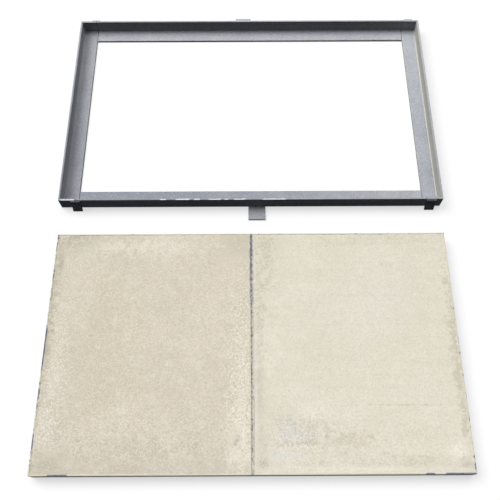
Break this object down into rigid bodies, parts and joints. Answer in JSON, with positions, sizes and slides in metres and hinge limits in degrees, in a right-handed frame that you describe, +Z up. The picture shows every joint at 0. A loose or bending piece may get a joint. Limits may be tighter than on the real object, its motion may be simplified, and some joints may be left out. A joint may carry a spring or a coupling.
{
  "type": "access cover with frame",
  "caption": "Welded steel angle frame with an inner ledge, anchor lugs and tangs, and the concrete-filled leaves of its access cover laid flat in front of it.",
  "frame": {"origin": "middle of the laid-out set's base, on the floor that the frame and the leaves lie on", "axes": "+X along the frame's long side, +Y from the leaves to the frame, +Z up"},
  "size_m": [1, 1.315, 0.04],
  "materials": {
    "frame_grey_paint": "satin grey paint, worn to bright chips along the top edges",
    "rim_grey_paint": "thin blue-grey paint, rubbed at the edges",
    "cast_concrete": "pale beige cast concrete, trowelled, mottled and lightly stained"
  },
  "bodies": {
    "root": {"frame_side_angle_left": "frame_grey_paint", "frame_side_angle_right": "frame_grey_paint", "frame_long_angle_front": "frame_grey_paint", "frame_long_angle_back": "frame_grey_paint", "frame_corner_plate_front_left": "frame_grey_paint", "frame_corner_plate_front_right": "frame_grey_paint", "frame_corner_plate_back_left": "frame_grey_paint", "frame_corner_plate_back_right": "frame_grey_paint", "anchor_lug_front": "frame_grey_paint", "anchor_lug_back": "frame_grey_paint", "anchor_tang_front_left": "frame_grey_paint", "anchor_tang_front_right": "frame_grey_paint", "anchor_tang_back_left": "frame_grey_paint", "anchor_tang_back_right": "frame_grey_paint", "leaf_left_rim_outer": "rim_grey_paint", "leaf_left_rim_joint": "rim_grey_paint", "leaf_left_rim_front": "rim_grey_paint", "leaf_left_rim_back": "rim_grey_paint", "leaf_right_rim_outer": "rim_grey_paint", "leaf_right_rim_joint": "rim_grey_paint", "leaf_right_rim_front": "rim_grey_paint", "leaf_right_rim_back": "rim_grey_paint", "leaf_left_concrete_fill": "cast_concrete", "leaf_right_concrete_fill": "cast_concrete"}
  },
  "joints": []
}
